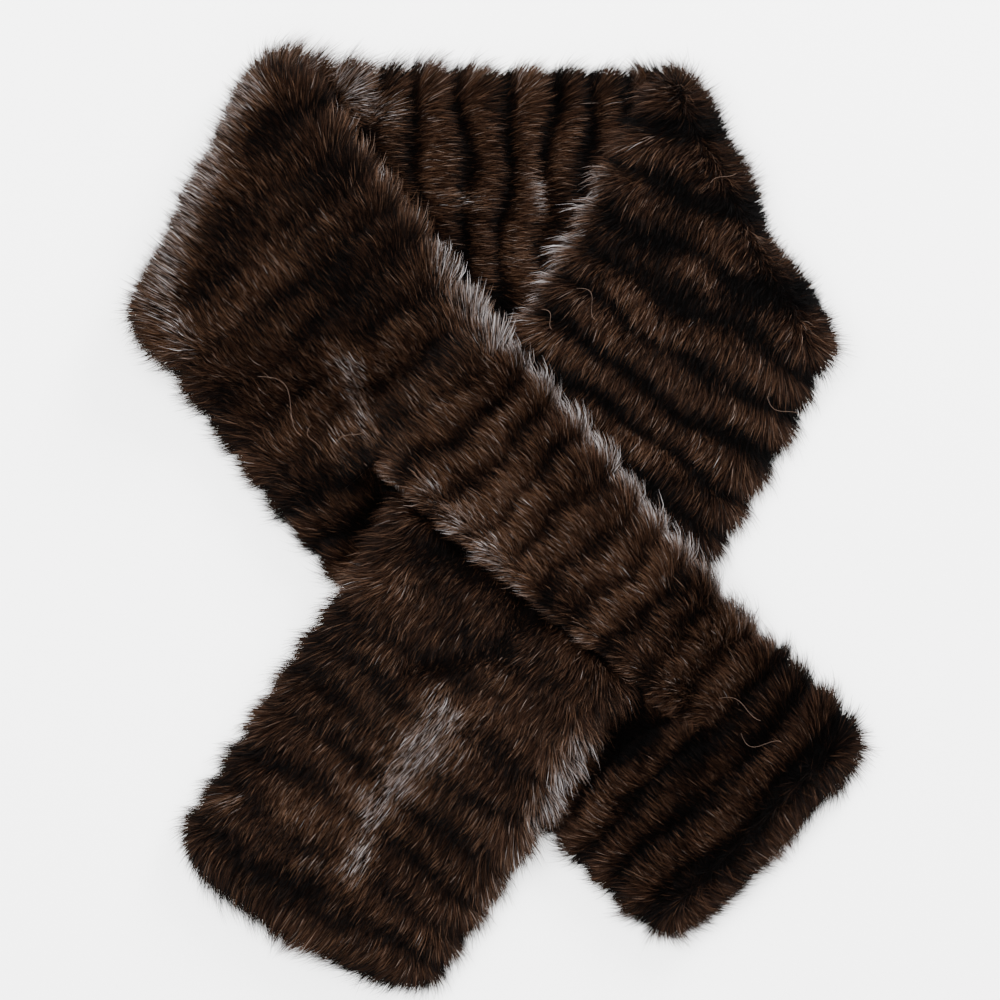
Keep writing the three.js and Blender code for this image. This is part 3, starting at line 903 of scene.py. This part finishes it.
def grow_fur(
    name, stretch, guard_hairs, down_hairs, tones, sheen_and_shade, seed, rim_light=(), loose=(), longer=()
):
    """All hair of a stretch in one mesh: long curved guard hair and short straight down.
    tones are the ones in a valley and on a crest, the valley's being darker as painted shade.
    The sheen has soft strokes: the lighter ones are painted sheen, the darker ones mostly painted
    shade in creases, gaps and under edges. The rims are edges made lighter as painted rim light:
    which edge, from and to along, reach and strength. loose has single pale hairs that lie over
    the rest, each from x, y to x, y with a bow to one side.
    longer has soft strokes where the hair is longer, by a share of its length."""
    chance = np.random.default_rng(seed)
    count = guard_hairs + down_hairs
    guard = np.arange(count) < guard_hairs
    where, root, ahead, inward, normal = spread_roots(stretch, chance, count)

    lock_a, to_lock_a = lock_row(where["along"], where["across"], *WIND_ALONG)
    lock_b, to_lock_b = lock_row(where["across"], where["along"], *WIND_ACROSS)
    lock = lock_a * SCATTER_ALONG + lock_b * SCATTER_ACROSS + where["face"] * SCATTER_FACE
    lock = lock.astype(np.int64) % LOCK_KINDS
    lock_lean, lock_length, lock_tone, lock_lift = chance.normal(size=(4, LOCK_KINDS))[:, lock]
    own = chance.normal(size=(6, count))
    own_lean, own_lift, own_length, own_roll, own_width, own_tone = own

    lay, rim = comb_hair(stretch, where, ahead, inward, lock_lean, own_lean)
    lift = LIFT + LOCK_LIFT * lock_lift + OWN_LIFT * own_lift
    lift = lift + FOLD_LIFT * np.sin(where["turned"]) + CREST_LIFT * where["crest"]
    lift = np.clip(np.radians(lift), LEAST_LIFT, MOST_LIFT)
    x, y = (root[:, :2] - TO_MIDDLE).T
    # Painted sheen and painted shade of the strokes, at each root
    painted_light = brushed(sheen_and_shade, x, y)
    length = hair_length(
        stretch, where, guard, rim, painted_light, brushed(longer, x, y), lock_length, own_length
    )
    to_lock = to_lock_a[:, None] * ahead + to_lock_b[:, None] * inward
    foot, knee, tip, first = shape_hair(root, normal, lay, lift, length, to_lock)
    tone = hair_tone(where, guard, tones, painted_light, rim_light, chance, lock_tone, own_lean, own_tone)

    side = unit(np.cross(first, normal))
    roll = np.tan(np.clip(ROLL * own_roll, -MOST_ROLL, MOST_ROLL))
    side = unit(side + roll[:, None] * np.cross(side, first))
    half = np.where(guard, GUARD_HALF_WIDTH, DOWN_HALF_WIDTH) * (1 + WIDTH_VARIES * own_width)
    half = np.clip(half, NARROWEST_HALF, WIDEST_HALF)[:, None] * side
    narrow = AT_KNEE * half
    hairs = {"corners": [], "faces": [], "map": []}
    bent = np.stack([foot - half, foot + half, knee + narrow, knee - narrow, tip], axis=1)
    add_blades(hairs, GUARD_BLADE, bent[guard], tone[guard])
    straight = np.stack([foot - half, foot + half, blend(knee, tip, DOWN_TIP)], axis=1)
    add_blades(hairs, DOWN_BLADE, straight[~guard], tone[~guard])
    for x0, y0, x1, y1, bow in loose:
        add_loose_hair(hairs, root, (x0, y0), (x1, y1), bow)

    fur = bpy.data.objects.new(name, hair_mesh(name, hairs))
    bpy.context.scene.collection.objects.link(fur)
    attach(fur, "root")
    return fur


back = {"arm": LEFT, "start": -60.0, "end": 76.0, "valley": 0.64}
back_skin = make_skin("back_neck_skin", back)
# Painted sheen in the light strokes, painted shade in the dark ones beside the left front's edge
back_sheen_and_shade = [
    (-80, 202, -54, 186, 11, 0.3),
    (-22, 147, -15, 145, 7, 0.26),
    (16, 153, 18, 141, 6, 0.28),
    (17, 135, 13, 85, 6, 0.1),
    (-41, 135, 4, 83, 8, -0.12),
]
back_longer = [(-86, 207, -30, 204, 10, 0.5)]
back_fur = grow_fur(
    "back_neck_fur", back, 14000, 70000, (0.08, 0.40), back_sheen_and_shade, seed=11, longer=back_longer
)
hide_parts("back_neck")


# Left front
# The strip goes on from the back, turns over in a full soft fold at the left, and comes down
# slantwise over the back and the right front as far as the slot.
left = {"arm": LEFT, "start": 76.0, "end": SLOT_START, "valley": 0.92}
left_skin = make_skin("left_front_skin", left)
# Painted sheen in the light strokes along the fold and down the front, painted shade in the dark
# ones
left_sheen_and_shade = [
    (-114, 194, -142, 138, 13, 0.32),
    (-142, 138, -152, 100, 14, 0.33),
    (-152, 98, -140, 78, 10, 0.26),
    (-108, 207, -70, 205, 8, 0.26),
    (-75, 200, -49, 181, 9, 0.3),
    (-23, 109, 9, 71, 12, 0.38),
    (-67, 67, -57, 35, 8, 0.26),
    (-70, 32, -68, 20, 8, 0.16),
    (-37, 61, -29, 15, 10, 0.14),
    (-31, 17, -23, 1, 8, 0.3),
    (-108, 30, -72, 8, 12, 0.07),
    (-111, 125, -129, 87, 8, -0.12),
    (-96, 90, -83, 55, 9, -0.08),
]
# Painted rim light on the inner edge
left_rim_light = [("to_inner", 112, 205, 5, 0.22), ("to_inner", 190, 290, 8, 0.38)]
left_loose = [
    (-110, 64, -86, 41, 0.18),
    (-86, 42, -84, 30, -0.2),
    (-75, 33, -62, 40, 0.1),
    (20, 94, 26, 86, 0.2),
]
left_longer = [(-90, 212, -66, 205, 9, 0.4), (-123, 196, -163, 112, 10, 0.25)]
left_fur = grow_fur(
    "left_front_fur", left, 26000, 115000, (0.23, 0.34), left_sheen_and_shade, seed=12, rim_light=left_rim_light,
    loose=left_loose, longer=left_longer,
)
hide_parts("left_front")


# Bridge over the tail
# The upper side of the slot. It goes over the tail that is pulled through, and its free edge
# at the slot is a full rim of curled fur.
bridge = {"arm": LEFT, "start": SLOT_START, "end": SLOT_END, "lip": 1, "valley": 0.78}
bridge_skin = make_skin("slot_bridge_skin", bridge)
# A band of painted sheen on the bridge, and painted shade in the dark strokes towards the slot's
# end
bridge_sheen_and_shade = [
    (-30, 10, 3, -29, 10, 0.2),
    (3, -29, 19, -47, 5, 0.18),
    (28, -26, 48, -58, 9, -0.12),
    (50, -67, 64, -83, 8, -0.2),
]
# Painted rim light along the upper edge and the slot's edge
bridge_rim_light = [("to_inner", 240, 470, 5.5, 0.36), ("to_slot", 262, 400, 3.5, 0.18)]
bridge_longer = [(102, -28, 140, -62, 9, 0.3)]
bridge_fur = grow_fur(
    "slot_bridge_fur", bridge, 17000, 78000, (0.23, 0.42), bridge_sheen_and_shade, seed=13,
    rim_light=bridge_rim_light, longer=bridge_longer,
)
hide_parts("slot_bridge")


# Lower lip of the slot
# The other side of the slot, which lies on the table under the tail.
lower = {"arm": LEFT, "start": SLOT_START, "end": SLOT_END, "lip": -1, "valley": 0.7}
lower_skin = make_skin("slot_lower_lip_skin", lower)
# Painted shade in the gap by the slot's end
lower_painted_shade = [(58, -82, 68, -106, 9, -0.26)]
lower_fur = grow_fur(
    "slot_lower_lip_fur", lower, 7000, 34000, (0.1, 0.36), lower_painted_shade, seed=14
)
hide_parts("slot_lower_lip")


# Right tail
# The free end of the strip below the slot, with its hair spread out round its blunt end.
right_end = {"arm": LEFT, "start": SLOT_END, "end": 520.0, "free_end": True, "valley": 0.7}
right_end_skin = make_skin("right_tail_skin", right_end)
# Painted shade in the gap by the slot's end
right_end_painted_shade = [(62, -84, 70, -108, 9, -0.26)]
right_end_loose = [(102, -84, 122, -92, 0.12), (112, -100, 130, -108, -0.2)]
right_end_longer = [(135, -58, 168, -88, 9, 0.3), (170, -110, 160, -132, 8, 0.2)]
right_end_fur = grow_fur(
    "right_tail_fur", right_end, 12000, 58000, (0.08, 0.35), right_end_painted_shade, seed=15,
    loose=right_end_loose, longer=right_end_longer,
)
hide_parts("right_tail")


# Right front
# The other half of the strip turns over in a flatter fold at the right and passes under the
# bridge.
right = {"arm": RIGHT, "start": 60.0, "end": 290.0, "valley": 0.72}
right_skin = make_skin("right_front_skin", right)
right_sheen = [(119, 105, 141, 73, 12, 0.06), (73, 200, 109, 145, 14, 0.05)]
# Painted rim light on the inner edge
right_rim_light = [("to_inner", 118, 215, 5.5, 0.36)]
right_loose = [(36, 104, 47, 92, 0.22), (124, 55, 138, 44, -0.15), (96, 150, 108, 158, 0.12)]
right_longer = [(102, 186, 114, 162, 9, 0.3)]
right_fur = grow_fur(
    "right_front_fur", right, 20000, 94000, (0.08, 0.38), right_sheen, seed=16, rim_light=right_rim_light,
    loose=right_loose, longer=right_longer,
)
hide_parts("right_front")


# Left tail
# The end of the right front, which comes up out of the slot over the lower lip and spreads
# out over the table, puffed up where it leaves the slot.
left_end = {
    "arm": RIGHT, "start": 290.0, "end": 506.0, "free_end": True, "valley": 0.9,
    "swell": [
        (-45, -34, -4, -48, 18, 5.5),
        (-48, -7, -29, -4, 9, 4.5),
        (26, -66, 35, -103, 20, 5.5),
        (14, -43, 2, -63, 5, -8),
        (2, -63, -37, -67, 5, -7),
        (-7, -74, -15, -85, 6, -5),
    ],
}
left_end_skin = make_skin("left_tail_skin", left_end)
# Painted sheen on the silver streak and the lit edges of the puffs, and painted shade in dark
# strokes in the creases and under the bridge
left_end_sheen_and_shade = [
    (-22, -86, -34, -106, 17, 0.3),
    (-34, -106, -50, -126, 13, 0.3),
    (-50, -126, -65, -160, 8, 0.3),
    (-44, -20, 0, -45, 16, -0.08),
    (-45, -1, -28, -3, 4, 0.14),
    (-34, -15, -6, -25, 6, -0.3),
    (-6, -26, 11, -46, 6, -0.3),
    (-55, -24, -34, -17, 4, -0.22),
    (15, -42, 3, -59, 8, -0.45),
    (3, -59, -18, -65, 7.5, -0.45),
    (-18, -65, -38, -69, 5, -0.4),
    (-40, -58, -22, -56, 5, 0.08),
    (-22, -56, -4, -49, 5, 0.08),
    (-5, -70, -13, -81, 5, -0.34),
    (3, -97, 7, -105, 6, -0.15),
    (-121, -80, -97, -113, 12, -0.1),
    (-109, -139, -92, -134, 9, -0.12),
    (-122, -130, -118, -130, 6, 0.26),
    (-89, -159, -84, -159, 5, 0.26),
    (-88, -176, -74, -180, 4, 0.2),
    (-132, -156, -64, -194, 14, -0.12),
    (38, -103, 28, -119, 8, 0.36),
    (28, -119, 16, -138, 7, 0.36),
    (16, -138, -9, -182, 5, 0.22),
]
# Painted rim light on the inner edge
left_end_rim_light = [("to_inner", 330, 506, 4, 0.18)]
left_end_longer = [(-128, -168, -72, -200, 13, 0.45)]
left_end_fur = grow_fur(
    "left_tail_fur", left_end, 26000, 115000, (0.20, 0.34), left_end_sheen_and_shade, seed=17,
    rim_light=left_end_rim_light, longer=left_end_longer,
)
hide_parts("left_tail")
